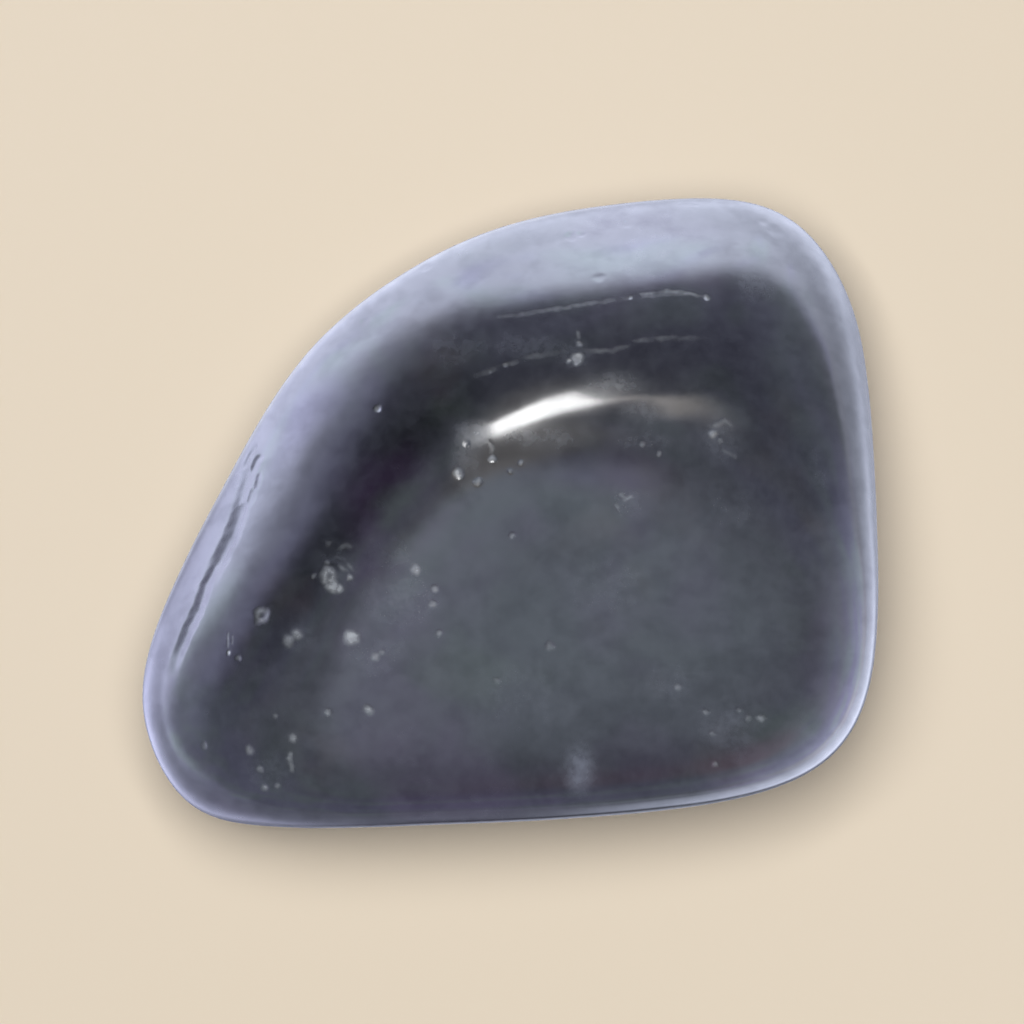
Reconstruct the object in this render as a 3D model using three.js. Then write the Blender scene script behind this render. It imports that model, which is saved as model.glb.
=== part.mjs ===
// Tumbled shungite: one solid stone, worn round and polished all over.
// Millimetres, +Z up. The stone lies on its flattened underside, with its length along X.

import * as THREE from 'three';
import { mergeVertices } from 'three/addons/utils/BufferGeometryUtils.js';

// Length of the finished stone along X (mm). Everything else keeps its proportion to it.
const STONE_LENGTH = 35;

// The chunk before tumbling, as its broken faces. Each face is given by the way it looks,
// azimuth from +X towards +Y and elevation above the horizon (degrees), and by its distance
// from the heart of the stone (mm). The upper faces form one shell and the lower faces another.
const UPPER_FACES = [
  // upright sides, on the right and the near side
  { azimuth: 2, elevation: 0, distance: 17.7 },
  { azimuth: 272, elevation: 0, distance: 14.8 },
  { azimuth: 290, elevation: 0, distance: 17.9 },
  { azimuth: 325, elevation: 0, distance: 20.5 },
  { azimuth: 222, elevation: 5, distance: 22.6 },
  { azimuth: 192, elevation: 14, distance: 22.4 },
  // the broad chamfer round the left and the far side
  { azimuth: 155, elevation: 43, distance: 11.3 },
  { azimuth: 126, elevation: 44, distance: 10.8 },
  { azimuth: 94, elevation: 44, distance: 11.3 },
  { azimuth: 48, elevation: 40, distance: 16.1 },
  // gentle slopes between the chamfer and the top
  { azimuth: 200, elevation: 62, distance: 12.9 },
  { azimuth: 148, elevation: 60, distance: 9.4 },
  { azimuth: 100, elevation: 66, distance: 9.4 },
  { azimuth: 42, elevation: 66, distance: 11.2 },
  // the broad top face, tipped a little towards -Y
  { azimuth: 280, elevation: 84, distance: 8.0 },
];
const LOWER_FACES = [
  // just under the rim
  { azimuth: 38, elevation: -8, distance: 20.4 },
  { azimuth: 97, elevation: -12, distance: 14.1 },
  { azimuth: 124, elevation: -12, distance: 12.1 },
  { azimuth: 152, elevation: -12, distance: 12.3 },
  { azimuth: 190, elevation: -8, distance: 19.8 },
  { azimuth: 222, elevation: -8, distance: 22.2 },
  // the slopes that lead down to the underside
  { azimuth: 15, elevation: -42, distance: 15.9 },
  { azimuth: 80, elevation: -48, distance: 13.6 },
  { azimuth: 150, elevation: -48, distance: 12.8 },
  { azimuth: 212, elevation: -45, distance: 16.2 },
  { azimuth: 265, elevation: -50, distance: 12.2 },
  { azimuth: 320, elevation: -42, distance: 16.6 },
  // the underside
  { azimuth: 0, elevation: -90, distance: 8.8 },
];

// How keen the edges stay, within a shell and along the rim where the two shells meet.
// Tumbling for longer means a lower number.
const SHELL_KEENNESS = 12;
const RIM_KEENNESS = 26;

// Height of the heart above the flat that the stone rests on (mm).
const HEART_HEIGHT = 8.6;

// Cuts along each edge of the starting icosahedron: 20 * (cuts + 1) ** 2 triangles.
const EDGE_CUTS = 19;

// The icosahedron is flattened to roughly the stone's proportions before its points are pushed
// out to the skin. That brings the points closer together along the rim.
const FLATTENING = new THREE.Vector3(1, 0.86, 0.47);

function withNormal({ azimuth, elevation, distance }) {
  const fromPole = THREE.MathUtils.degToRad(90 - elevation);
  const aroundZ = THREE.MathUtils.degToRad(azimuth);
  const normal = new THREE.Vector3(
    Math.sin(fromPole) * Math.cos(aroundZ),
    Math.sin(fromPole) * Math.sin(aroundZ),
    Math.cos(fromPole),
  );
  return { normal, distance };
}

const upperShell = UPPER_FACES.map(withNormal);
const lowerShell = LOWER_FACES.map(withNormal);

// A sharp chunk would take the largest of the values alone. Summing high powers blends the
// values that are nearly as large, which is what rounds an edge.
function worn(values, keenness) {
  const sum = values.reduce((total, value) => total + Math.max(0, value) ** keenness, 0);
  return sum ** (1 / keenness);
}

// One over the distance from the heart to a shell in one direction.
function nearness(shell, direction) {
  const values = shell.map(({ normal, distance }) => normal.dot(direction) / distance);
  return worn(values, SHELL_KEENNESS);
}

// Distance from the heart to the skin in one direction, level with the flat underneath.
function radiusAlong(direction) {
  const upper = nearness(upperShell, direction);
  const lower = nearness(lowerShell, direction);
  const radius = 1 / worn([upper, lower], RIM_KEENNESS);
  return direction.z < 0 ? Math.min(radius, HEART_HEIGHT / -direction.z) : radius;
}

function wornStone() {
  let geometry = new THREE.IcosahedronGeometry(1, EDGE_CUTS);
  geometry.deleteAttribute('normal');
  geometry.deleteAttribute('uv');
  geometry = mergeVertices(geometry);

  const skin = geometry.getAttribute('position');
  const point = new THREE.Vector3();
  for (let i = 0; i < skin.count; i += 1) {
    point.fromBufferAttribute(skin, i).multiply(FLATTENING).normalize();
    point.multiplyScalar(radiusAlong(point));
    skin.setXYZ(i, point.x, point.y, point.z);
  }

  geometry.computeBoundingBox();
  const size = geometry.boundingBox.getSize(new THREE.Vector3());
  const scale = STONE_LENGTH / size.x;
  geometry.scale(scale, scale, scale);

  geometry.computeBoundingBox();
  const { min, max } = geometry.boundingBox;
  geometry.translate(-(min.x + max.x) / 2, -(min.y + max.y) / 2, -min.z);
  geometry.computeVertexNormals();
  return geometry;
}

const polishedShungite = new THREE.MeshStandardMaterial({
  color: 0x1c1d21,
  roughness: 0.18,
  metalness: 0,
});

const stone = new THREE.Mesh(wornStone(), polishedShungite);
stone.name = 'stone';

const tumbledShungite = new THREE.Group();
tumbledShungite.add(stone);

export default tumbledShungite;
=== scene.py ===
# %% [markdown]
# # A tumbled shungite stone
#
# Shungite is a black, carbon-rich rock. Chunks of it go into a tumbler with grit and then with
# polish, and come out as stones like this one: flat faces left from the breaking, every edge
# worn round, and a skin that shines like dark glass wherever it isn't pitted or scuffed.
#
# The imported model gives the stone's true size and place. It is loaded first and never changed.

# %% Load the frame
import math

import bmesh
import bpy
import numpy as np
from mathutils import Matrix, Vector


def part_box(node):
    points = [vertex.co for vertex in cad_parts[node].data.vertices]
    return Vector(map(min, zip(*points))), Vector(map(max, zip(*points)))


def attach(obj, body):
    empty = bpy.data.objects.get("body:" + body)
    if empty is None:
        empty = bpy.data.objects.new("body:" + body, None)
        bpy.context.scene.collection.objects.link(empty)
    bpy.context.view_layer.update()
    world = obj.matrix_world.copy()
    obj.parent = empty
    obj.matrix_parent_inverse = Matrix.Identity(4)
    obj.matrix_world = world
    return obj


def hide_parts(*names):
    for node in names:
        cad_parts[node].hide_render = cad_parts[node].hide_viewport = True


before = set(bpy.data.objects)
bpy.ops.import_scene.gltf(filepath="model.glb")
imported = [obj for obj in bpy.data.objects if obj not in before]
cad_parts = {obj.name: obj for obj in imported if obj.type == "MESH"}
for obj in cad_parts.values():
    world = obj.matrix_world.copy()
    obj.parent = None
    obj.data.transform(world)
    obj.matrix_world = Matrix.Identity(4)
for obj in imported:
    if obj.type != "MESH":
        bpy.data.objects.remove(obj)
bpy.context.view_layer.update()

MM = 0.001
low, high = (np.array(corner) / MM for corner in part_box("stone"))
print("stone, mm:", (high - low).round(2))

# %% [markdown]
# ## The worn chunk
#
# The shape could be sculpted by hand, but a tumbled stone has a simple recipe. A few broken
# faces bound the chunk, each given by the way it looks and by its distance from the heart.
# A sharp chunk takes the nearest face alone. Summing high powers lets neighbouring faces
# blend, which is just what wearing the edges round does. The upper faces form one shell and
# the lower faces another, because the rim where they meet has stayed keener than the rest.
# The flat underneath cuts straight through both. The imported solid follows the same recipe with
# fewer points, so the two agree.

# %% The broken faces
UPPER_FACES = [  # azimuth and elevation in degrees, distance from the heart in mm
    # upright sides, on the right and the near side
    (2, 0, 17.7), (272, 0, 14.8), (290, 0, 17.9), (325, 0, 20.5), (222, 5, 22.6), (192, 14, 22.4),
    # the broad chamfer round the left and the far side
    (155, 43, 11.3), (126, 44, 10.8), (94, 44, 11.3), (48, 40, 16.1),
    # gentle slopes between the chamfer and the top
    (200, 62, 12.9), (148, 60, 9.4), (100, 66, 9.4), (42, 66, 11.2),
    # the broad top face, tipped a little towards -Y
    (280, 84, 8.0),
]
LOWER_FACES = [
    # just under the rim
    (38, -8, 20.4), (97, -12, 14.1), (124, -12, 12.1), (152, -12, 12.3), (190, -8, 19.8),
    (222, -8, 22.2),
    # the slopes that lead down to the underside
    (15, -42, 15.9), (80, -48, 13.6), (150, -48, 12.8), (212, -45, 16.2), (265, -50, 12.2),
    (320, -42, 16.6),
    # the underside
    (0, -90, 8.8),
]
SHELL_KEENNESS = 12
RIM_KEENNESS = 26
HEART_HEIGHT = 8.6
NEARLY_ZERO = 1e-6


def looking(azimuth, elevation):
    """The unit vector that looks that way, from angles in degrees."""
    around, up = math.radians(azimuth), math.radians(elevation)
    return math.cos(up) * math.cos(around), math.cos(up) * math.sin(around), math.sin(up)


def nearness(faces, directions):
    """One over the distance from the heart to a shell, along each direction."""
    normals = np.array([looking(azimuth, elevation) for azimuth, elevation, _ in faces])
    distances = np.array([distance for _, _, distance in faces])
    values = np.maximum(directions @ normals.T / distances, 0)
    return (values ** SHELL_KEENNESS).sum(axis=1) ** (1 / SHELL_KEENNESS)


def worn_radius(directions):
    """Distance from the heart to the skin along each direction, in mm."""
    upper = nearness(UPPER_FACES, directions)
    lower = nearness(LOWER_FACES, directions)
    radius = (upper ** RIM_KEENNESS + lower ** RIM_KEENNESS) ** (-1 / RIM_KEENNESS)
    downward = np.maximum(-directions[:, 2], NEARLY_ZERO)
    return np.minimum(radius, HEART_HEIGHT / downward)


# %% [markdown]
# Every point of the skin is a direction from the heart, so the stone starts as a fine ball,
# flattened so that its points lie closer together along the rim. The skin as a whole is then
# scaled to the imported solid's length and moved to its place, with the flat on the floor.

# %% Fit the recipe to the frame
BALL_SUBDIVISIONS = 7
FLATTENING = (1, 0.86, 0.47)

skin = bmesh.new()
bmesh.ops.create_icosphere(skin, subdivisions=BALL_SUBDIVISIONS, radius=1)
bmesh.ops.scale(skin, vec=FLATTENING, verts=skin.verts)


def directions_of(ball):
    """The unit direction of every vertex of the ball."""
    directions = np.array([vertex.co for vertex in ball.verts])
    return directions / np.linalg.norm(directions, axis=1)[:, None]


directions = directions_of(skin)
raw = directions * worn_radius(directions)[:, None]
scale = (high - low)[0] / np.ptp(raw[:, 0])
heart = (low + high) / 2 - scale * (raw.min(axis=0) + raw.max(axis=0)) / 2
heart[2] = HEART_HEIGHT * scale
print("scale", round(scale, 4), "heart, mm:", heart.round(3))


def on_skin(directions):
    """Where each direction meets the smooth skin, in mm in the frame."""
    return heart + scale * directions * worn_radius(directions)[:, None]


# %% [markdown]
# ## Marks in the skin
#
# Up close the polish is full of small accidents: pits that hold a little chalky polish, fine
# hairlines, patches dulled by rubbing, and the old crack, which tumbling has healed to a soft
# groove. A bump texture could fake them, but they are carved into the mesh itself, because a
# mirror shows every dent. Three painted attributes tell the material where the skin is pale with
# chalk, where it is scuffed and dull or, round the highlight, holds a painted glow, and where a
# groove is blunt and has lost its polish.
#
# Each mark is given in millimetres as it is seen from above, so its place on the curved skin
# has to be found first: a stretch of heights is halved until it closes on the skin.

# %% Find places on the top
BELOW_HEART = 2  # the search for a height starts between these, in mm
ABOVE_TOP = 1
HALVINGS = 30


def on_top(places):
    """The points of the skin, in mm, that lie at each x, y when the stone is seen from above."""
    places = np.array(places, dtype=float)
    below = np.full(len(places), heart[2] - BELOW_HEART)
    above = np.full(len(places), high[2] + ABOVE_TOP)
    for _ in range(HALVINGS):
        middle = (below + above) / 2
        arms = np.column_stack([places, middle]) - heart
        reach = np.linalg.norm(arms, axis=1)
        inside = scale * worn_radius(arms / reach[:, None]) > reach
        below = np.where(inside, middle, below)
        above = np.where(inside, above, middle)
    return np.column_stack([places, below])


def eased(value):
    """0 below 0, 1 above 1 and smooth in between."""
    value = np.clip(value, 0, 1)
    return value * value * (3 - 2 * value)


WAVES = 16


def ripple(points, length, seed):
    """Smooth noise, mostly within -2 to 2, with its hills about that length apart (mm)."""
    draw = np.random.default_rng(seed)
    ways = draw.normal(size=(WAVES, 3))
    ways *= 2 * math.pi / length / np.linalg.norm(ways, axis=1)[:, None]
    phases = draw.uniform(0, 2 * math.pi, WAVES)
    return np.sin(points @ ways.T + phases).sum(axis=1) / math.sqrt(WAVES / 2)


# %% Pits
# x, y, radius, depth and how much pale polish is left in it (0 to 1)
PITS = [
    # the rough cluster on the left
    (-8.3, -3.5, 0.38, 0.030, 0.62), (-8.0, -3.6, 0.24, 0.020, 0.50),
    (-7.5, -3.1, 0.19, 0.030, 0.47), (-8.6, -2.4, 0.16, 0.020, 0.26), (-9.2, -3.0, 0.16, 0.020, 0.20),
    # round it
    (-7.4, -5.9, 0.44, 0.035, 0.80), (-7.2, -5.8, 0.22, 0.020, 0.44), (-13.3, -6.7, 0.14, 0.040, 1.00),
    (-6.3, -6.8, 0.25, 0.025, 0.47), (-6.0, -6.6, 0.15, 0.020, 0.32), (-4.4, -2.7, 0.29, 0.025, 0.47),
    (-3.5, -3.6, 0.20, 0.025, 0.38), (-3.6, -4.3, 0.22, 0.025, 0.38), (-3.3, -5.7, 0.17, 0.020, 0.26),
    (-6.6, -9.3, 0.29, 0.030, 0.47), (-8.5, -9.4, 0.20, 0.025, 0.38), (-11.0, -9.6, 0.16, 0.020, 0.20),
    (-12.8, -6.9, 0.18, 0.020, 0.29), (-10.4, -6.1, 0.36, 0.030, 0.40),
    (-10.0, -5.8, 0.36, 0.030, 0.40), (-14.4, -11.0, 0.22, 0.025, 0.20),
    # the chain near the lower corner
    (-10.2, -10.6, 0.25, 0.030, 0.50), (-10.3, -11.5, 0.16, 0.020, 0.38), (-10.2, -11.9, 0.17, 0.020, 0.38),
    (-12.2, -11.2, 0.27, 0.025, 0.35), (-11.7, -12.1, 0.19, 0.020, 0.32), (-11.5, -13.0, 0.22, 0.025, 0.38),
    (-10.9, -12.9, 0.18, 0.020, 0.32),
    # by the left end of the shine
    (-2.4, 1.8, 0.28, 0.030, 0.56), (-0.8, 2.5, 0.20, 0.025, 0.47), (-1.5, 1.4, 0.22, 0.025, 0.32),
    (0.0, 1.9, 0.16, 0.020, 0.29), (0.5, 2.3, 0.13, 0.020, 0.26), (-2.0, 3.2, 0.18, 0.020, 0.23),
    # above the shine
    (3.2, 7.2, 0.36, 0.025, 0.50), (3.1, 7.0, 0.19, 0.020, 0.47), (2.8, 7.1, 0.16, 0.020, 0.38),
    (3.3, 7.9, 0.17, 0.020, 0.35), (-0.2, 6.9, 0.16, 0.020, 0.38), (-0.9, 6.6, 0.11, 0.015, 0.32),
    (-6.2, 4.9, 0.25, 0.025, 0.35), (9.3, 10.1, 0.18, 0.030, 0.44), (5.7, 10.1, 0.13, 0.020, 0.38),
    # the right-hand half
    (9.5, 3.7, 0.22, 0.025, 0.35), (9.9, 3.3, 0.13, 0.015, 0.23), (6.2, 3.2, 0.13, 0.015, 0.26),
    (7.0, 2.7, 0.15, 0.015, 0.26), (0.1, -1.1, 0.16, 0.015, 0.23), (7.9, -8.2, 0.19, 0.020, 0.29),
    (11.2, -9.7, 0.16, 0.025, 0.32), (11.8, -9.7, 0.19, 0.025, 0.41), (10.8, -9.3, 0.13, 0.020, 0.26),
    (9.2, -9.4, 0.16, 0.020, 0.29), (9.5, -10.4, 0.15, 0.020, 0.26), (9.7, -11.9, 0.16, 0.020, 0.29),
    (1.9, -6.3, 0.25, 0.015, 0.17), (-0.6, -7.9, 0.20, 0.015, 0.14),
]
# pits whose chalk has worn away in the middle and stayed as a ring
RINGS = [
    (-11.7, -4.9, 0.48, 0.040, 0.48), (-8.5, -3.0, 0.50, 0.040, 0.62),
]
RING_STRENGTH = 0.75
# nicks in the pale band: small dents with no chalk
NICKS = [
    (12.6, 13.4, 0.50, 0.050), (12.1, 13.8, 0.30, 0.030), (2.9, 13.1, 0.42, 0.045),
    (3.4, 13.2, 0.26, 0.030), (4.2, 11.1, 0.34, 0.009), (-9.4, 8.4, 0.34, 0.030),
    (-4.0, 11.6, 0.34, 0.025), (-6.9, 9.0, 0.30, 0.018), (1.2, 14.0, 0.34, 0.030), (5.6, 13.7, 0.40, 0.035),
]

# %% [markdown]
# The stone was in the tumbler with many others, so the sides and the underside, which the main
# view hides, have their share of pits too. They are drawn at random, always the same ones.

# %% Pits on the sides and the underside
SIDE_PITS = 100
SIDE_PIT_RADII = (0.10, 0.26)
SIDE_PIT_CHALKS = (0.0, 0.75)
SIDE_PIT_SLOPE = 1 / 8  # depth over radius
TOP_EDGE = 8.0  # mm above the floor: pits higher than this are the listed ones

draw = np.random.default_rng(5)
ways = draw.normal(size=(SIDE_PITS, 3))
places = on_skin(ways / np.linalg.norm(ways, axis=1)[:, None])
radii = draw.uniform(*SIDE_PIT_RADII, SIDE_PITS)
chalks = draw.uniform(*SIDE_PIT_CHALKS, SIDE_PITS)


def placed(table):
    """Each row of a table, with the point of the skin in the place of its x, y."""
    return [(centre, *row[2:]) for centre, row in zip(on_top([row[:2] for row in table]), table)]


# centre, radius, depth, chalk, how far the chalk is drawn out to a ring (0 to 1)
dents = [(*row, 0) for row in placed(PITS)]
dents += [(*row, RING_STRENGTH) for row in placed(RINGS)]
dents += [(*row, 0, 0) for row in placed(NICKS)]
dents += [(place, radius, radius * SIDE_PIT_SLOPE, pale, 0)
          for place, radius, pale in zip(places, radii, chalks) if place[2] < TOP_EDGE]
print("dents:", len(dents))

# %% [markdown]
# Some marks run along a line: the crack with its frayed upper end, two hairlines across the
# top and a few short scratches. Each is a string of points; a few more are put in between so
# that the line follows the curve of the skin.

# %% Lines
# points, half-width, depth and chalk
LINES = [
    # the old crack, and its wider upper part
    ([(-12.5, 1.7), (-12.8, 0.3), (-13.3, -1.2), (-13.9, -2.5), (-14.4, -3.5), (-14.8, -4.7),
      (-15.2, -5.5), (-15.7, -6.7), (-16.2, -8.2)], 0.48, 0.062, 0),
    ([(-12.6, 0.8), (-12.8, 0.0), (-13.2, -1.2), (-13.8, -2.4), (-14.3, -3.4)], 0.64, 0.080, 0),
    # its frayed upper end
    ([(-12.3, 2.3), (-12.5, 1.5), (-12.8, 0.4), (-13.1, -0.6)], 0.54, 0.050, 0),
    ([(-12.0, 3.3), (-12.4, 2.6), (-12.7, 1.9)], 0.28, 0.060, 0),
    ([(-11.8, 2.8), (-12.1, 2.2), (-12.4, 1.6)], 0.34, 0.046, 0),
    ([(-11.9, 1.9), (-11.9, 1.5), (-12.0, 1.0)], 0.22, 0.016, 0),
    ([(-12.1, 1.2), (-12.3, 0.6), (-12.7, -0.1)], 0.40, 0.022, 0),
    # a long nick in the far edge
    ([(8.0, 14.7), (8.6, 14.7), (9.2, 14.6)], 0.15, 0.028, 0),
    # the hairlines
    ([(-1.4, 9.1), (0.6, 9.3), (2.4, 9.6), (4.1, 9.9), (5.7, 10.1), (7.4, 10.3), (8.4, 10.3),
      (9.6, 10.0)], 0.22, 0.002, 0.15),
    ([(5.2, 10.0), (5.9, 10.2), (7.4, 10.4), (8.5, 10.3), (9.5, 10.0)], 0.18, 0.002, 0.26),
    ([(-1.9, 6.3), (-1.0, 6.6), (-0.2, 6.9), (1.1, 7.3), (2.7, 7.6)], 0.22, 0.002, 0.16),
    ([(3.0, 7.6), (4.9, 7.6), (5.6, 7.9), (6.3, 8.1), (7.4, 8.2), (9.4, 8.2)], 0.22, 0.002, 0.17),
    # short scratches
    ([(-8.9, -1.4), (-8.0, -1.6), (-7.0, -1.6)], 0.24, 0.003, 0.12),
    ([(5.1, 0.9), (5.5, 0.6)], 0.13, 0.005, 0.26), ([(5.3, 0.5), (5.8, 0.8)], 0.12, 0.004, 0.24),
    ([(4.9, 0.4), (5.2, 0.1)], 0.12, 0.004, 0.20), ([(-13.3, -5.6), (-13.3, -6.5)], 0.09, 0.008, 0.30),
    ([(-13.1, -5.8), (-13.1, -6.3)], 0.08, 0.006, 0.24), ([(3.2, 8.7), (3.3, 8.1)], 0.16, 0.004, 0.22),
    ([(-0.9, 3.4), (-0.8, 2.7)], 0.15, 0.004, 0.22), ([(-10.3, -11.2), (-10.2, -12.3)], 0.17, 0.010, 0.45),
    ([(9.4, 3.9), (10.1, 4.3), (10.6, 4.0)], 0.16, 0.004, 0.14),
    ([(9.9, 3.0), (10.8, 2.5)], 0.16, 0.004, 0.14),
    ([(-8.7, -2.3), (-8.1, -2.4), (-7.6, -2.8), (-7.3, -3.4)], 0.14, 0.006, 0.20),
    ([(-8.3, -2.1), (-7.7, -2.3), (-7.2, -2.9)], 0.13, 0.005, 0.16),
]
LINE_STEP = 0.4  # mm


def follow_skin(corners):
    """Points on the skin from corner to corner, no further apart than a step."""
    places = [corners[0]]
    for start, end in zip(corners, corners[1:]):
        count = math.ceil(math.dist(start, end) / LINE_STEP)
        places += [np.array(start) + (np.array(end) - start) * i / count for i in range(1, count + 1)]
    return on_top(places)


lines = [(follow_skin(corners), *sizes) for corners, *sizes in LINES]
print("lines:", len(lines), "the longest has", max(len(line[0]) for line in lines), "points")


def beside(line, points):
    """For each point, its distance from the line in mm, and how far along the line it is."""
    nearest = np.full(len(points), np.inf)
    progress = np.zeros(len(points))
    runs = np.diff(line, axis=0)
    for i, (start, run) in enumerate(zip(line, runs)):
        share = np.clip((points - start) @ run / (run @ run), 0, 1)
        away = np.linalg.norm(points - start - share[:, None] * run, axis=1)
        closer = away < nearest
        nearest[closer] = away[closer]
        progress[closer] = (i + share[closer]) / len(runs)
    return nearest, progress


# %% [markdown]
# Rubbing against the other stones has dulled the polish here and there. A dull patch has no
# depth, so it is only painted, as a soft oval. The patches round the highlight are partly painted
# glow: their pale dust stands in for the haze of light round it, while their roughness really
# spreads the lamp's reflection.

# %% Dull patches, and painted glow round the highlight
# (-1.8, 3.7), (-2.1, 2.5), (1.5, 3.5), (5.0, 6.1) and (6.4, 4.7) lie round the highlight: partly painted
# glow
# x, y, half-length, half-width and how dull the patch is
DULL_AND_GLOW_PATCHES = [
    (-5.2, -4.2, 2.0, 1.3, 0.36), (-5.6, -2.0, 1.5, 0.8, 0.20), (-8.1, -2.6, 1.1, 1.3, 0.26),
    (-1.8, 3.7, 1.1, 0.8, 0.70), (-2.1, 2.5, 0.9, 1.1, 0.26), (-2.4, 7.8, 1.6, 1.2, 0.25),
    (11.5, 10.7, 1.3, 1.0, 0.30),
    (10.6, 0.2, 2.2, 1.4, 0.14), (14.6, 1.8, 0.8, 1.5, 0.20), (5.0, 6.1, 1.8, 0.7, 0.36),
    (6.4, 4.7, 1.3, 0.8, 0.36), (3.3, -12.1, 0.8, 1.4, 1.10), (3.4, -11.4, 0.5, 0.5, 0.50),
    (-6.4, -6.8, 2.4, 1.5, 0.14), (10.4, -10.2, 1.7, 1.6, 0.36), (9.9, 3.4, 1.1, 1.2, 0.42),
    (5.4, 0.5, 0.9, 0.8, 0.34), (0.6, 7.9, 2.4, 0.8, 0.34), (1.5, 3.5, 2.6, 0.7, 0.38),
    (3.1, 7.4, 0.9, 0.9, 0.40), (6.2, 3.4, 1.6, 0.9, 0.34), (-11.4, -12.2, 1.4, 1.1, 0.32),
    (7.6, -8.0, 1.4, 1.0, 0.24), (-12.7, 1.3, 0.8, 1.9, 0.30), (4.9, -3.4, 2.5, 2.0, 0.16),
    (0.6, -8.5, 3.0, 2.0, 0.14), (-9.9, -5.8, 1.0, 0.9, 0.25),
]
dull_and_glow_patches = placed(DULL_AND_GLOW_PATCHES)
print("patches:", len(dull_and_glow_patches))

# %% [markdown]
# The ball's triangles are about a quarter of a millimetre across, too coarse for the marks.
# Only the edges near a mark are divided, so the rest of the stone stays light. Dividing leaves
# some needle-thin triangles, which would show as dark dots in the polish, so at the end
# neighbouring triangles swap their shared edge wherever that makes them rounder.

# %% Finer mesh where the marks are
REFINEMENTS = [0.45, 0.16]  # how far beyond a mark each round of dividing reaches, in mm
PIT_REACH = 1.2  # the radii after which a pit is over


def near_a_mark(points, margin):
    """True for each point closer to a mark than the margin, in mm."""
    near = np.zeros(len(points), dtype=bool)
    for centre, radius, *_ in dents:
        near |= ((points - centre) ** 2).sum(axis=1) < (PIT_REACH * radius + margin) ** 2
    for line, half_width, *_ in lines:
        near |= beside(line, points)[0] < half_width + margin
    return near


for margin in REFINEMENTS:
    skin.verts.ensure_lookup_table()
    near = near_a_mark(on_skin(directions_of(skin)), margin)
    fine_edges = [edge for edge in skin.edges if all(near[v.index] for v in edge.verts)]
    bmesh.ops.subdivide_edges(skin, edges=fine_edges, cuts=1, use_grid_fill=True)
    skin.verts.index_update()
    print("divided", len(fine_edges), "edges, now", len(skin.faces), "faces")
bmesh.ops.triangulate(skin, faces=skin.faces)
bmesh.ops.beautify_fill(skin, faces=skin.faces, edges=skin.edges, method="ANGLE")
print("evened out:", len(skin.faces), "triangles")

# %% [markdown]
# Tumbled faces are never quite true. Long, low ripples under the polish bend the mirrored
# light a little, and die away towards the flat that the stone rests on. Shorter ones make the
# outlines of the marks uneven, and break the chalk of a scratch into dashes.

# %% The ripples
LONG_RIPPLE = 0.014  # usual height in mm
SHORT_RIPPLE = 0.0035
CALM_HEIGHT = 1.5  # mm above the floor: the ripples reach their full height here

directions = directions_of(skin)
points = on_skin(directions)
off_base = eased(points[:, 2] / CALM_HEIGHT)
swell = (LONG_RIPPLE * ripple(points, length=9, seed=21)
         + SHORT_RIPPLE * ripple(points, length=3.5, seed=22))
shake = np.column_stack([ripple(points, length=0.55, seed=seed) for seed in (31, 32, 33)])
dashes = eased(0.8 + 0.45 * ripple(points, length=0.8, seed=41))
print("widest swell", np.abs(swell).max().round(3), "mm")

# %% [markdown]
# Where marks cross, the deepest or palest one wins, as it would on the stone, so each point
# takes the largest value that any mark gives it. A pit ends a little beyond its radius, and a
# line ends at its half-width, but the dull skin beside it reaches further out.

# %% Carve and paint the marks
PIT_WANDER = 0.025  # how far the outline of a pit wanders, in mm
LINE_WANDER = 0.015
SCUFF_PER_DEPTH = 3
BLUNT_PER_DEPTH = 14

carve, chalk, scuff_and_glow, blunt = np.zeros((4, len(points)))
for centre, radius, depth, pale, ring in dents:
    away = np.linalg.norm(points + PIT_WANDER * shake - centre, axis=1) / radius
    carve = np.maximum(carve, depth * eased(1.1 - away))
    chalk = np.maximum(chalk, pale * eased(1.25 - away - ring * eased(1.1 - 2 * away)) ** 1.5)
for line, half_width, depth, pale in lines:
    distance, progress = beside(line, points + LINE_WANDER * shake)
    away = distance / half_width
    # a line swells over its first fifth and dies away over its last quarter
    fullness = eased(5 * progress) * eased(4 * (1 - progress))
    carve = np.maximum(carve, depth * fullness * eased(1 - away))
    chalk = np.maximum(chalk, pale * fullness * eased(1 - away) * dashes)
    scuff_and_glow = np.maximum(scuff_and_glow, SCUFF_PER_DEPTH * depth * fullness * eased(1.4 - away))
    blunt = np.maximum(blunt, BLUNT_PER_DEPTH * depth * fullness * eased(1.2 - away))
# each patch dulls the skin; round the highlight its pale dust is also a painted glow
for centre, half_length, half_width, dull in dull_and_glow_patches:
    reaches = (half_length, half_width, max(half_length, half_width))
    away = np.linalg.norm((points - centre) / reaches, axis=1)
    scuff_and_glow = np.maximum(scuff_and_glow, dull * eased(1.2 - away))
print("deepest mark", carve.max().round(3), "mm")

# %% The finished stone
points += directions * (swell * off_base - carve)[:, None]
for vertex, point in zip(skin.verts, points):
    vertex.co = Vector(point * MM)
stone_mesh = bpy.data.meshes.new("polished_stone")
skin.to_mesh(stone_mesh)
skin.free()
for name, values in (("chalk", chalk), ("scuff_and_glow", scuff_and_glow), ("blunt", blunt)):
    stone_mesh.attributes.new(name, "FLOAT", "POINT").data.foreach_set("value", values)
stone_mesh.polygons.foreach_set("use_smooth", [True] * len(stone_mesh.polygons))
stone = bpy.data.objects.new("polished_stone", stone_mesh)
bpy.context.collection.objects.link(stone)
print("stone:", len(stone_mesh.polygons), "triangles")

# %% [markdown]
# ## Shader maths
#
# Nodes are easier to read as sums. `Value` wraps a node's output, so that `1 - mask * 0.5`
# adds its Math nodes by itself. `Nodes` adds every other node, always in the same way.

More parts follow.
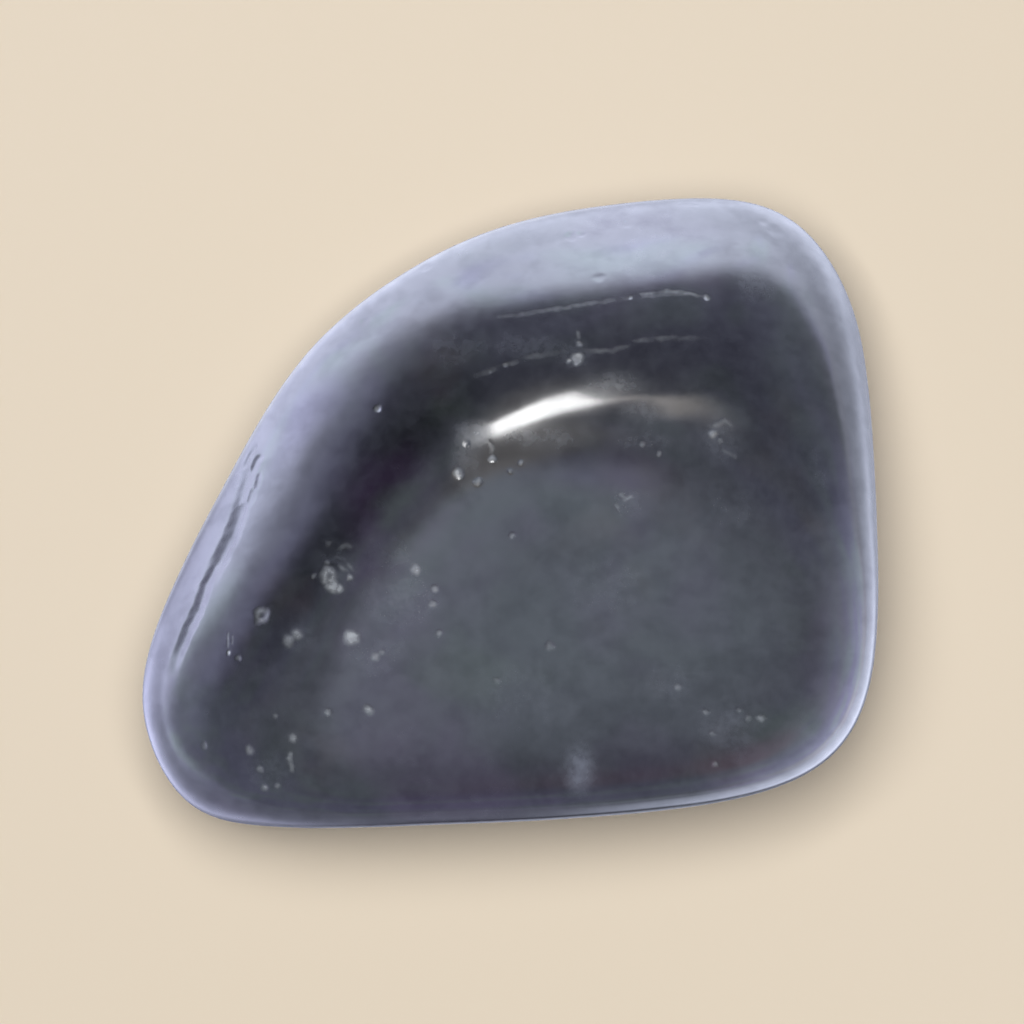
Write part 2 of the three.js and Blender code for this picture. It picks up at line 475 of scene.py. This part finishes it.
# %% Helpers for nodes
class Value:
    """A number in a node tree, or a colour or a shader, which is only passed on."""

    def __init__(self, nodes, socket):
        self.nodes, self.socket = nodes, socket

    def _math(self, operation, first, second):
        return self.nodes.add("Math", {"operation": operation}, {0: first, 1: second})

    def __add__(self, other):
        return self._math("ADD", self, other)

    def __radd__(self, other):
        return self._math("ADD", other, self)

    def __sub__(self, other):
        return self._math("SUBTRACT", self, other)

    def __rsub__(self, other):
        return self._math("SUBTRACT", other, self)

    def __mul__(self, other):
        return self._math("MULTIPLY", self, other)

    def __rmul__(self, other):
        return self._math("MULTIPLY", other, self)

    def __truediv__(self, other):
        return self._math("DIVIDE", self, other)

    def __pow__(self, other):
        return self._math("POWER", self, other)

    def at_most(self, other):
        return self._math("MINIMUM", self, other)

    def at_least(self, other):
        return self._math("MAXIMUM", self, other)

    def rising(self, start, end):
        """0 before start, 1 after end and smooth in between."""
        settings = {"interpolation_type": "SMOOTHSTEP"}
        return self.nodes.add("MapRange", settings,
                              {"Value": self, "From Min": start, "From Max": end}, "Result")


class Nodes:
    """Adds nodes to the tree of one material or world."""

    def __init__(self, owner):
        owner.use_nodes = True
        self.tree = owner.node_tree
        self.tree.nodes.clear()

    def add(self, kind, settings=None, inputs=None, output=0):
        """A node of that kind, with its settings and then its inputs, as the output asked for."""
        node = self.tree.nodes.new("ShaderNode" + kind)
        for name, setting in (settings or {}).items():
            setattr(node, name, setting)
        for name, value in (inputs or {}).items():
            if isinstance(value, Value):
                self.tree.links.new(value.socket, node.inputs[name])
            else:
                node.inputs[name].default_value = value
        return Value(self, node.outputs[output]) if node.outputs else None

    def mix(self, factor, first, second):
        """A colour between two colours, which a Mix node takes as inputs 6 and 7."""
        inputs = {"Factor": factor, 6: first, 7: second}
        return self.add("Mix", {"data_type": "RGBA"}, inputs, output=2)

    def noise(self, place, scale, detail=3, stretch=(1, 1, 1)):
        """Cloudy noise from 0 to 1, with the pattern squeezed by the stretch along each axis."""
        place = self.add("Mapping", None, {"Vector": place, "Scale": stretch})
        return self.add("TexNoise", None, {"Vector": place, "Scale": scale, "Detail": detail})


# %% [markdown]
# ## Polished shungite
#
# The stone is nearly black, so its looks are a matter of gloss. One smooth layer would look like
# glass. The real skin has two: the polish, and on it a film of dust and rubbed-in polish. So the
# base layer is the polish, with a high index of refraction for its glassy, almost metallic
# shine, and a low roughness that rises where the skin is dull. The coat layer is used the other
# way round, as a weak and rough film, which puts a soft haze round every bright reflection.

# %% The clouded black
BLACK = (0.0018, 0.0018, 0.0026, 1)
GREY = (0.0072, 0.0080, 0.0104, 1)
OLIVE = (0.0098, 0.0155, 0.0100, 1)
VIOLET = (0.0155, 0.0075, 0.0225, 1)
BROWN = (0.0130, 0.0090, 0.0080, 1)
# colour, how fine its clouds are, how rare they are (0 to 1) and how they are squeezed
TINTED_CLOUDS = [
    (VIOLET, 95, 0.50, (1.2, 1, 1.4)), (OLIVE, 130, 0.54, (1, 1.3, 1)), (BROWN, 150, 0.56, (1, 1, 1)),
]
CLOUD_EDGE = 0.16
CLOUD_STRENGTH = 0.85

polished_shungite = bpy.data.materials.new("polished_shungite")
polish = Nodes(polished_shungite)
place = polish.add("TexCoord", output="Object")
clouds = polish.noise(place, 260, detail=6).rising(0.30, 0.70)
colour = polish.mix(clouds, BLACK, GREY)
for tint, fineness, rarity, stretch in TINTED_CLOUDS:
    tinted = polish.noise(place, fineness, detail=3, stretch=stretch).rising(rarity, rarity + CLOUD_EDGE)
    colour = polish.mix(CLOUD_STRENGTH * tinted, colour, tint)

# %% [markdown]
# Dust lies thinly all over and thickly in the scuffs, in blotches with a fine grain. Round the
# highlight the pale dust of the patches is partly a painted glow. The chalky rest of the polish
# sits in the pits and scratches, where the attribute says.

# %% Dust and chalk, and painted glow round the highlight
DUST_AND_GLOW = (0.088, 0.098, 0.118, 1)
CHALK = (0.32, 0.34, 0.36, 1)

chalk_here, scuff_and_glow_here, blunt_here = (
    polish.add("Attribute", {"attribute_name": name}, output="Fac") for name in ("chalk", "scuff_and_glow", "blunt"))
grain = polish.noise(place, 3600, detail=4).rising(0.30, 0.70)
blotches = polish.noise(place, 1500, detail=2).rising(0.25, 0.80)
# dust, and round the highlight a painted glow in the pale dust of the patches
dust_and_glow = ((0.12 + 0.9 * scuff_and_glow_here) * (0.20 + 0.40 * blotches + 0.28 * grain)).at_most(1)
colour = polish.mix(dust_and_glow, colour, DUST_AND_GLOW)
chalky = (chalk_here * (0.70 + 0.60 * grain)).at_most(1)
colour = polish.mix(chalky, colour, CHALK)

# %% [markdown]
# The gloss is uneven in several ways. Stains of a lead-like grey are slightly metallic, the film
# is thicker in blotches, the grit has left faint streaks, and dust, scuffs and chalk are rough.

# %% The gloss
BUMP_HEIGHT = 0.000004
FILM_TINT = (0.62, 0.68, 1.0, 1)

roughness = 0.09 + 0.04 * clouds + 0.10 * dust_and_glow + 0.14 * scuff_and_glow_here + 0.30 * chalky + 0.11 * blunt_here
haze = 0.20 + 0.25 * blotches + 0.5 * dust_and_glow
lead_grey = 0.16 * polish.noise(place, 750, detail=4, stretch=(0.8, 1, 1)).rising(0.42, 0.66)
streaks = polish.noise(place, 600, detail=3, stretch=(0.45, 1, 1))
bumps = streaks + 0.12 * polish.noise(place, 4200, detail=2) + chalky * grain
normal = polish.add("Bump", None, {"Strength": 1.0, "Distance": BUMP_HEIGHT, "Height": bumps})
gloss = polish.add("BsdfPrincipled", None, {
    "Base Color": colour,
    "Roughness": roughness,
    "Metallic": lead_grey,
    "IOR": 1.9,
    "Coat Weight": haze,
    "Coat Roughness": 0.31,
    "Coat IOR": 1.4,
    "Sheen Weight": 0.2,
    "Sheen Roughness": 0.2,
    "Sheen Tint": FILM_TINT,
    "Normal": normal,
})

# %% [markdown]
# Any smooth skin turns into a mirror where it is seen almost edge-on, but a worn and dusty one
# is too uneven for that, and its far edge would glare white. So the gloss gives way there to
# plain dust. The finished material goes on the stone, and the stone takes the place of the
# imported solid.

# %% The dusty edge and the finished material
EDGE_DUST = 0.6

edge_on = polish.add("LayerWeight", None, {"Blend": 0.5}, "Facing").rising(0.70, 0.95)
matt = polish.add("BsdfDiffuse", None, {"Color": DUST_AND_GLOW})
surface = polish.add("MixShader", None, {0: EDGE_DUST * edge_on, 1: gloss, 2: matt})
polish.add("OutputMaterial", None, {"Surface": surface})
stone_mesh.materials.append(polished_shungite)
print("polished shungite:", len(polish.tree.nodes), "nodes")

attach(stone, "root")
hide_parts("stone")

# %% [markdown]
# ## The floor
#
# The stone lies on something plain and pale. One large flat square is enough, because all that
# it has to do is catch the soft shadow. It isn't part of the object.

# %% The floor
FLOOR_HALF = 2.0

floor_mesh = bmesh.new()
bmesh.ops.create_grid(floor_mesh, x_segments=1, y_segments=1, size=FLOOR_HALF)
floor_data = bpy.data.meshes.new("floor")
floor_mesh.to_mesh(floor_data)
floor_mesh.free()
floor = bpy.data.objects.new("floor", floor_data)
bpy.context.collection.objects.link(floor)
pale_floor = bpy.data.materials.new("pale_floor")
paper = Nodes(pale_floor)
paper_surface = paper.add("BsdfPrincipled", None, {
    "Base Color": (0.66, 0.57, 0.45, 1),
    "Roughness": 0.9,
    "Specular IOR Level": 0.2,
})
paper.add("OutputMaterial", None, {"Surface": paper_surface})
floor_data.materials.append(pale_floor)
print("floor:", 2 * FLOOR_HALF, "m across")

# %% [markdown]
# ## Light
#
# A polished black stone shows hardly any colour of its own: what the eye sees is a mirror image
# of the room. So the room is what has to be right. A light tent is a good one: dark cloth
# overhead with soft grey panels in it, and a bright wall low down, which fills the chamfer
# with light. The tent could be sewn from real sheets and lit with lamps. Here it is a world
# shader instead, which renders with less noise: every part of it is a brightness that depends
# on the way that it is seen from the stone, so a few helpers for such ways come first.

# %% Ways to look from the stone
class Heading:
    """Where a vector points: how high, how far out and to which side."""

    def __init__(self, nodes, vector):
        self.x, self.y, self.up = (
            nodes.add("SeparateXYZ", None, {0: vector}, part) for part in "XYZ")
        self.out = (self.x * self.x + self.y * self.y).at_least(NEARLY_ZERO ** 2) ** 0.5
        self.east, self.north = self.x / self.out, self.y / self.out

    def facing(self, azimuth):
        """1 on the side that the azimuth names, 0 on the opposite side."""
        east, north, _ = looking(azimuth, 0)
        return 0.5 + 0.5 * (self.east * east + self.north * north)

    def fold(self, azimuth, narrowness, starts=None, ends=None):
        """1 on that side, between the heights at which it starts and ends, each a pair."""
        share = self.facing(azimuth) ** narrowness
        if starts:
            share = share * self.up.rising(*starts)
        if ends:
            share = share * (1 - self.up.rising(*ends))
        return share

    def spot(self, azimuth, elevation, inner, outer):
        """1 within the inner angle of that way, 0 beyond the outer angle, all in degrees."""
        x, y, up = looking(azimuth, elevation)
        towards = self.x * x + self.y * y + self.up * up
        return towards.rising(math.cos(math.radians(outer)), math.cos(math.radians(inner)))


world = bpy.data.worlds.new("light_tent")
bpy.context.scene.world = world
tent = Nodes(world)
way = tent.add("TexCoord", output="Generated")
sky = Heading(tent, way)

# %% [markdown]
# The cloth overhead is darkest on the far side. Two panels brighten it, two warm glows shine
# through it, and folds and sags make it lighter or darker here and there. On its way down to
# the near right-hand corner it grows lighter, and on the far left its foot, the skirt, catches
# the light of the wall. Heights are given as the up part of a unit vector, from 0 at the
# horizon to 1 straight above.

# %% The cloth overhead
# brightness, azimuth, elevation, and the angles at which a round spot starts to fade and ends
PANELS = [(0.52, 238, 83, 4, 16), (0.18, 55, 64, 4, 14)]
GLOWS = [(0.30, 112, 75, 3, 14), (0.18, 102, 54, 3, 13)]
VIOLET_SAG = (288, 58, 3, 10)
DARK_SAGS = [(0.06, *VIOLET_SAG), (0.06, 48, 38, 4, 12), (0.05, 151, 45, 4, 11), (0.06, 215, 50, 4, 11)]
# brightness, azimuth, narrowness, and the heights between which a fold starts and ends
LIGHT_FOLDS = [(0.15, 82, 3, None, (0.42, 0.60)), (0.09, 265, 12, None, (0.62, 0.76))]
DARK_FOLDS = [
    (0.32, 145, 12, None, (0.62, 0.90)), (0.15, 212, 40, (0.58, 0.70), (0.80, 0.90)),
    (0.06, 335, 20, (0.30, 0.45), (0.72, 0.86)), (0.09, 300, 12, (0.66, 0.78), (0.93, 0.99)),
]
DARKEST = 0.03

slope = (1 - sky.up).at_least(0) ** 0.5
cloth = 0.55 - 0.30 * (2 * sky.facing(95) - 1).at_least(0) - 0.10 * sky.facing(290) ** 8
glows = sum(brightness * sky.spot(*row) for brightness, *row in GLOWS)
panels = sum(brightness * sky.spot(*row) for brightness, *row in PANELS)
lifted = sum(brightness * sky.fold(*row) for brightness, *row in LIGHT_FOLDS)
shadow = (sum(brightness * sky.spot(*row) for brightness, *row in DARK_SAGS)
          + sum(brightness * sky.fold(*row) for brightness, *row in DARK_FOLDS)
          + 0.12 * sky.fold(10, 10, (0.62, 0.80)) * slope.rising(0.12, 0.25))
corner_side = sky.facing(330) ** 5 * sky.east.rising(0.16, 0.34) * (1 - sky.north.rising(0.25, 0.55))
corner = 2.5 * corner_side * ((slope - 0.185) / 0.626).at_least(0)
skirt_top = 0.31 + 0.09 * sky.facing(165) ** 12
skirt = 0.95 * sky.fold(145, 7, None, (skirt_top - 0.08, skirt_top + 0.06))
overhead_light = (cloth + panels + glows + lifted + corner + skirt - shadow).at_least(DARKEST)

# %% [markdown]
# The wall stands all round, low down. It is brightest on the far left, and a lamp shines
# through it at the near right-hand corner. Its upper edge hangs lower at the left end and on
# the far right.

# %% The wall
def wall_light(heading):
    """The brightness of the wall on each side."""
    far_side = (4.3 * heading.facing(120) ** 2.5).at_most(3.5) * (1 - 0.6 * heading.east.rising(0.62, 0.92))
    corner_lamp = 3.3 * heading.facing(328) ** 8 * heading.east.rising(0.02, 0.32)
    return (0.58 + far_side + corner_lamp + 0.1 * heading.facing(265) ** 12
            + 0.9 * heading.facing(56) ** 16 + 0.8 * heading.facing(172) ** 24)


left_end = sky.facing(180) ** 30
far_right = sky.facing(30) ** 24
wall_top = 0.28 + 0.03 * sky.facing(90) ** 8 - 0.08 * left_end - 0.09 * far_right
wall = 1 - sky.up.rising(0.16 - 0.19 * left_end - 0.08 * far_right, wall_top)

# %% [markdown]
# Two cloths meet overhead with a slit between them. It is narrow and bright beside the window,
# then wider and dimmer, and it gives the highlight its thin tail.

# %% The slit
slit_height = 0.848 - 0.10 * sky.east.rising(0.46, 0.80)
slit_width = 0.011 + 0.064 * sky.east.rising(0.28, 0.58)
off_middle = (sky.up - slit_height) / slit_width
slit = (1 - off_middle * off_middle).at_least(0) * sky.east.rising(-0.04, 0.02) * sky.north.rising(0, 0.1)
slit_light = (1.6 + 3.0 * (1 - sky.east.rising(0.05, 0.40))) * (1 - sky.east.rising(0.48, 0.76))
slit_glow = slit * slit_light

# %% [markdown]
# The cloth is a cool grey, deeper blue in the dark ring between the panel and the wall, and its
# soft creases change both the brightness and the tint. The tent is seen in the gloss alone, so
# the floor takes no light from it.

# %% The whole tent
TENT_TINT = (0.90, 0.965, 1.21, 1)
TEAL_TINT = (0.84, 1.00, 1.14, 1)
DEEP_TINT = (0.86, 0.87, 1.36, 1)
PALE_TINT = (0.95, 0.96, 1.16, 1)
WARM_TINT = (1.05, 1.0, 0.98, 1)
VIOLET_TINT = (1.02, 0.84, 1.14, 1)

creases = 0.74 + 0.52 * tent.noise(way, 5, detail=4)
tent_light = (overhead_light * (1 - wall) + wall * wall_light(sky)) * creases + slit_glow
dark_ring = sky.up.rising(0.24, 0.40) * (1 - sky.up.rising(0.60, 0.90))
deep_wall = 0.7 * sky.fold(205, 3, None, (0.35, 0.62))
hue = tent.mix(sky.fold(330, 4, None, (0.22, 0.45)), TENT_TINT, PALE_TINT)
hue = tent.mix((0.85 * dark_ring + deep_wall).at_most(1), hue, DEEP_TINT)
hue = tent.mix(0.8 * tent.noise(way, 5, detail=3).rising(0.48, 0.62), hue, TEAL_TINT)
hue = tent.mix(0.7 * tent.noise(way, 6, detail=3, stretch=(1, 1, 1.5)).rising(0.52, 0.66), hue, DEEP_TINT)
hue = tent.mix(sky.spot(*VIOLET_SAG), hue, VIOLET_TINT)
hue = tent.mix((slit_glow + 4 * glows).at_most(1), hue, WARM_TINT)
background = tent.add("Background", None, {"Color": hue, "Strength": tent_light})
tent.add("OutputWorld", None, {"Surface": background})
world.cycles_visibility.diffuse = False
print("light tent:", len(tent.tree.nodes), "nodes")

# %% [markdown]
# The steepest part of the rim looks down, to below the wall. A world shader can't help there,
# because the floor is in the way. A low funnel of light round the stone, seen only in its
# gloss, carries the wall on down to the floor. It is a profile spun round the stone, and a
# little narrower from front to back, as the stone is.

# %% The shape of the funnel
# radius and height
FUNNEL_PROFILE = [(0.0100, 0.0002), (0.0145, 0.0007), (0.020, 0.0020), (0.032, 0.011), (0.150, 0.0155)]
FUNNEL_STEPS = 96
FUNNEL_NARROWING = 0.9

funnel_mesh = bmesh.new()
profile = [funnel_mesh.verts.new((radius, 0, height)) for radius, height in FUNNEL_PROFILE]
edges = [funnel_mesh.edges.new(pair) for pair in zip(profile, profile[1:])]
bmesh.ops.spin(funnel_mesh, geom=profile + edges, axis=(0, 0, 1), cent=(0, 0, 0),
               angle=2 * math.pi, steps=FUNNEL_STEPS, use_merge=True)
bmesh.ops.scale(funnel_mesh, vec=(1, FUNNEL_NARROWING, 1), verts=funnel_mesh.verts)
funnel_data = bpy.data.meshes.new("low_funnel")
funnel_mesh.to_mesh(funnel_data)
funnel_mesh.free()
funnel = bpy.data.objects.new("low_funnel", funnel_data)
bpy.context.collection.objects.link(funnel)
for kind in ("camera", "diffuse", "shadow", "transmission"):
    setattr(funnel, "visible_" + kind, False)
print("funnel:", len(funnel_data.polygons), "faces")

# %% [markdown]
# High up the funnel shines like the wall. Lower down comes a band that is bright on the far
# side and dim on the near side, and at the foot it has the glow of the pale floor. Beneath the
# stone it fades out, just inside the stone's outline, so that the underside keeps the dark
# shadow in which a stone meets what it lies on.

# %% The light of the funnel
FLOOR_TINT = (0.94, 0.98, 1.14, 1)
FADE = 0.0035  # how far inside the outline it is gone
OFF_FLOOR = (0, 0.005)  # the heights between which the floor's glow gives way to the band
BAND_TO_WALL = (0.0045, 0.0105)  # and the band to the wall

funnel_glow = bpy.data.materials.new("low_funnel_glow")
glow = Nodes(funnel_glow)
around = Heading(glow, glow.add("TexCoord", output="Object"))
near_corner = around.facing(297)
far_side = around.facing(125).rising(0.38, 0.62)
band_light = (2.35 + 1.7 * far_side + 0.6 * around.facing(330) ** 20
              - 1.6 * around.facing(176) ** 60 - 2.1 * around.facing(262) ** 10)
low_share = (0.16 + 0.84 * around.facing(130) ** 4 + 0.25 * around.facing(10) ** 6
             + 0.20 * around.facing(258) ** 20 - 0.30 * near_corner ** 10).at_least(0.09)
low_share = low_share + (1 - low_share) * around.up.rising(0.0036 + 0.0016 * near_corner ** 20, 0.0070)
floor_light = 0.95 + 0.75 * around.facing(125) ** 1.6 + 0.5 * near_corner ** 3
off_floor = around.up.rising(*OFF_FLOOR)
low_light = band_light * low_share * off_floor + floor_light * (1 - off_floor)
at_wall = around.up.rising(*BAND_TO_WALL)
funnel_light = wall_light(around) * at_wall + low_light * (1 - at_wall)
low_hue = glow.mix(0.6 * around.facing(205) ** 3, TENT_TINT, DEEP_TINT)
low_hue = glow.mix(off_floor, FLOOR_TINT, low_hue)
emission = glow.add("Emission", None, {"Color": low_hue, "Strength": funnel_light})
clear = glow.add("BsdfTransparent")
outline = (0.0125 + 0.0042 * around.facing(40) ** 6 + 0.0058 * around.facing(215) ** 7
           + 0.0055 * around.facing(326) ** 8)
fading = glow.add("MixShader", None, {0: (around.out - outline).rising(-FADE, 0), 1: clear, 2: emission})
glow.add("OutputMaterial", None, {"Surface": fading})
funnel_data.materials.append(funnel_glow)
print("funnel glow:", len(glow.tree.nodes), "nodes")

# %% [markdown]
# Two lamps do the rest. The window is a narrow oblong high on the far side, and gives the gloss
# its one white highlight. The overhead lamp is its opposite, large and soft and left out of the
# gloss: it lights the floor and draws the soft shadow round the stone.

# %% The lamps
def lamp(name, way, distance, size, radiance, turn=0):
    """An oblong lamp that shines on the stone from that way, as bright as the radiance says."""
    way = Vector(way).normalized()
    data = bpy.data.lights.new(name, "AREA")
    data.shape = "RECTANGLE"
    data.size, data.size_y = size
    data.energy = radiance * math.pi * size[0] * size[1]
    item = bpy.data.objects.new(name, data)
    item.location = way * distance
    item.rotation_euler = way.to_track_quat("Z", "Y").to_euler()
    item.rotation_euler.rotate_axis("Z", math.radians(turn))
    bpy.context.collection.objects.link(item)
    print(name, "lamp:", round(data.energy, 3), "W")
    return item


window = lamp("window", way=(-0.090, 0.475, 0.875), distance=0.30, size=(0.095, 0.046), radiance=12, turn=23)
window.visible_diffuse = False
overhead = lamp("overhead", way=(-0.045, 0.075, 1.0), distance=0.9, size=(0.37, 0.37), radiance=22.4)
overhead.visible_glossy = False

# %% [markdown]
# ## The camera
#
# The camera hangs straight above the stone and looks down at it. Its lens is chosen so that the
# frame is as wide as the width given, at the height of the stone's rim.

# %% The camera
FRAME_WIDTH = 0.0489
RIM_HEIGHT = 0.009
CAMERA_HEIGHT = 0.40
CAMERA_ASIDE = 0.00012
SENSOR_WIDTH = 36  # mm

camera_data = bpy.data.cameras.new("camera")
camera_data.sensor_width = SENSOR_WIDTH
camera_data.lens = SENSOR_WIDTH * (CAMERA_HEIGHT - RIM_HEIGHT) / FRAME_WIDTH
camera_data.clip_start = 0.01
camera = bpy.data.objects.new("camera", camera_data)
camera.location = (CAMERA_ASIDE, 0, CAMERA_HEIGHT)
bpy.context.collection.objects.link(camera)
bpy.context.scene.camera = camera
bpy.context.scene.view_settings.view_transform = "Standard"
print("lens:", round(camera_data.lens, 1), "mm")
